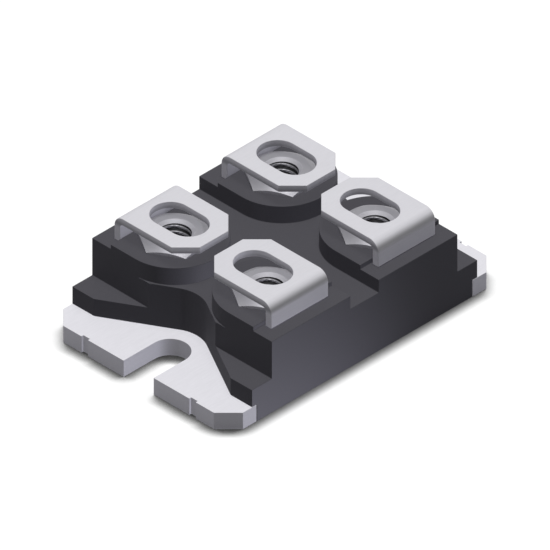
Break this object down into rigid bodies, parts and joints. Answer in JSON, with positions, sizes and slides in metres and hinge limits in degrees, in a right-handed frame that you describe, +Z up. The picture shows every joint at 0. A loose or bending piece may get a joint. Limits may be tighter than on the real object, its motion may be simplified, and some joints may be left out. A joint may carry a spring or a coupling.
{
  "type": "igbt module",
  "caption": "Flat power transistor module: black moulded housing on a metal base plate, with folded screw terminals over captive hexagon nuts and a screw notch at each end.",
  "frame": {"origin": "middle of the base plate's underside", "axes": "+X along the long side towards the end with the round screw hole, +Z up, away from the heatsink, +Y across"},
  "size_m": [0.0382, 0.0252, 0.0115],
  "materials": {
    "nickel_plate": "satin nickel plating on copper",
    "nut_steel": "nickel-plated steel",
    "black_moulding": "fine matt moulded thermoplastic",
    "copper": "bare copper foil",
    "alumina": "fired white ceramic",
    "silicon": "metallised silicon chip",
    "solder": "dull solder",
    "bond_aluminium": "bright drawn wire",
    "clear_gel": "soft clear silicone",
    "black_adhesive": "cured silicone adhesive"
  },
  "bodies": {
    "root": {"base_plate": "nickel_plate", "emitter_terminal": "nickel_plate", "gate_terminal": "nickel_plate", "collector_terminal": "nickel_plate", "auxiliary_emitter_terminal": "nickel_plate", "emitter_nut": "nut_steel", "gate_nut": "nut_steel", "collector_nut": "nut_steel", "auxiliary_emitter_nut": "nut_steel", "housing": "black_moulding", "housing_adhesive": "black_adhesive", "substrate_solder": "solder", "substrate_lower_copper": "copper", "substrate_ceramic": "alumina", "collector_pad": "copper", "emitter_pad": "copper", "gate_pad": "copper", "auxiliary_emitter_pad": "copper", "igbt_die_solder": "solder", "igbt_die": "silicon", "diode_die_solder": "solder", "diode_die": "silicon", "emitter_bond_wires": "bond_aluminium", "diode_bond_wires": "bond_aluminium", "gate_bond_wire": "bond_aluminium", "auxiliary_emitter_bond_wire": "bond_aluminium", "terminal_solder": "solder", "silicone_gel": "clear_gel"}
  },
  "joints": []
}
